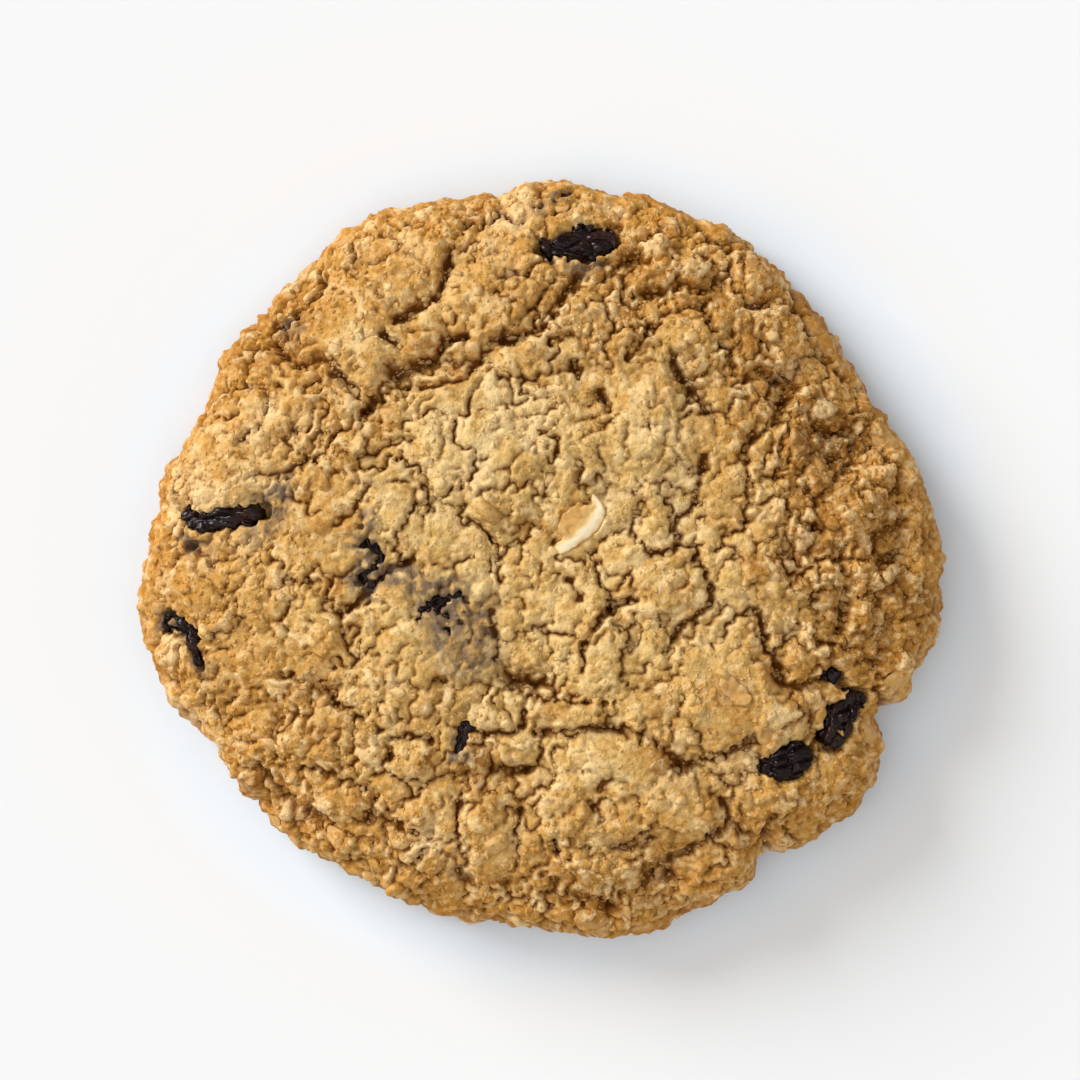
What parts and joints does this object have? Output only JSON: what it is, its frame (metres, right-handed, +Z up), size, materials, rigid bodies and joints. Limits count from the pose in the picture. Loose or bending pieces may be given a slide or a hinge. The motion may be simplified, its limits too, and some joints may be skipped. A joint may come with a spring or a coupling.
{
  "type": "oatmeal cookie",
  "caption": "Round craggy oatmeal cookie with a flat baked base, raisins and white chocolate chips set into its cracked crust.",
  "frame": {"origin": "middle of the flat base, at the centre of the cookie's outline seen from above", "axes": "+Z up through the crust, +X along the wider way across, +Y along the narrower way"},
  "size_m": [0.0966, 0.0906, 0.016],
  "materials": {
    "dough": "matt baked oat dough, golden tan with browner rim and cracks",
    "raisin": "glossy wrinkled dark raisin skin",
    "white_chip": "satin white chocolate, toasted golden on top"
  },
  "bodies": {
    "root": {"oat_dough": "dough", "raisin_top": "raisin", "raisin_left": "raisin", "raisin_left_low": "raisin", "raisin_right": "raisin", "raisin_right_low": "raisin", "raisin_right_tip": "raisin", "raisin_slit": "raisin", "raisin_veiled": "raisin", "raisin_seam": "raisin", "raisin_edge": "raisin", "raisin_rim": "raisin", "white_chip_middle": "white_chip", "white_chip_right": "white_chip"}
  },
  "joints": []
}
